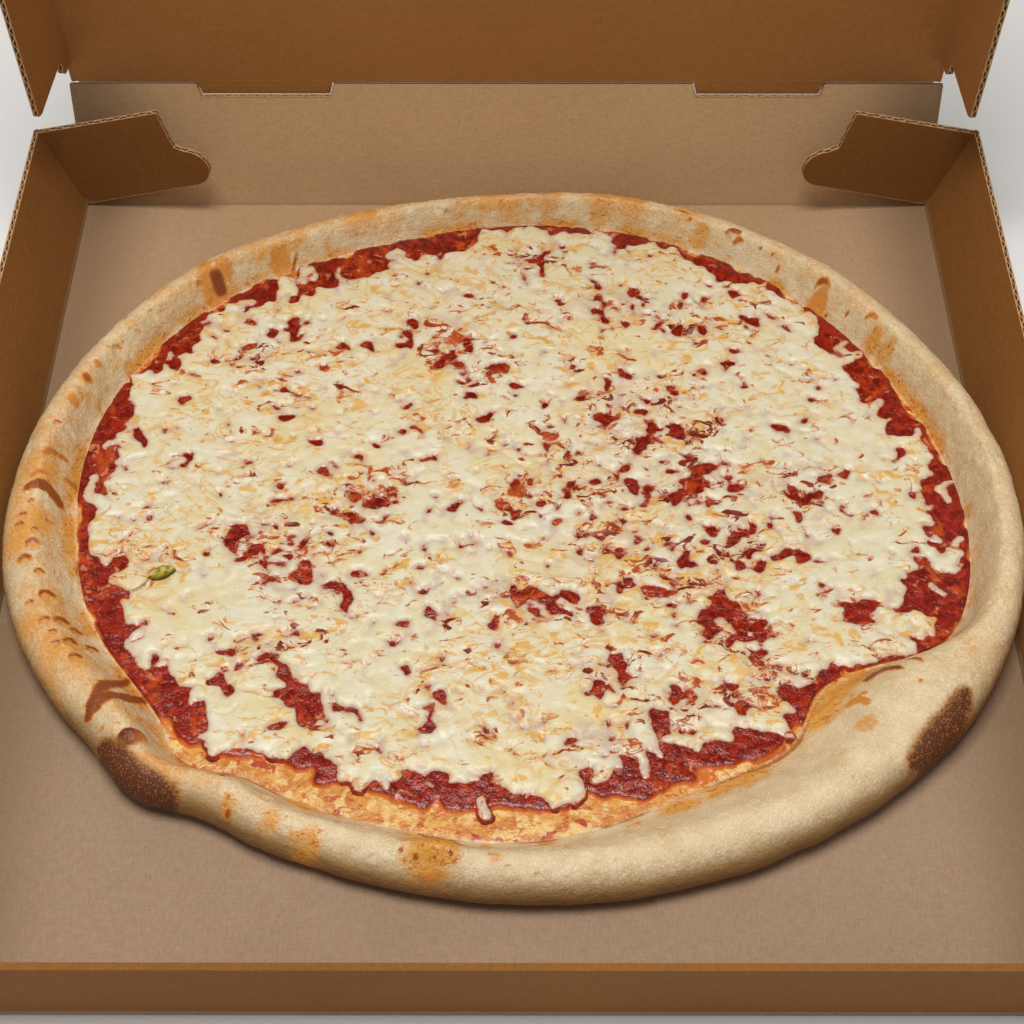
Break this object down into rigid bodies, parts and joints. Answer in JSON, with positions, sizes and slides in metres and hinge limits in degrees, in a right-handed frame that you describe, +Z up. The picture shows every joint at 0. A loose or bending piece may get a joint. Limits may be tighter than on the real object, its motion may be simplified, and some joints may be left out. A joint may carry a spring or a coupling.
{
  "type": "pizza in box",
  "caption": "Whole cheese pizza lying in an open corrugated takeaway box, with its hinged lid standing up behind it.",
  "frame": {"origin": "centre of the tray's underside, on the surface that the box stands on", "axes": "+X to the right and +Y to the hinged back as seen from the open front, +Z up"},
  "size_m": [0.4414, 0.4336, 0.4884],
  "materials": {
    "kraft_board": "matt brown paper liner on corrugated board",
    "baked_crust": "dry baked dough, satin where oil has run",
    "tomato_sauce": "wet, glossy",
    "melted_cheese": "melted, softly glossy",
    "leaf_green": "wilted leaf, slight sheen"
  },
  "bodies": {
    "tray": {"tray": "kraft_board", "pizza_crust": "baked_crust", "pizza_sauce": "tomato_sauce", "pizza_cheese": "melted_cheese", "herb_leaf": "leaf_green"},
    "lid": {"lid": "kraft_board"}
  },
  "joints": [
    {"name": "lid_hinge", "type": "hinge", "parent": "tray", "child": "lid", "pos_m": [0, 0.22149, 0.06367], "axis": [1, 0, 0], "range_deg": [-100, 80]}
  ]
}
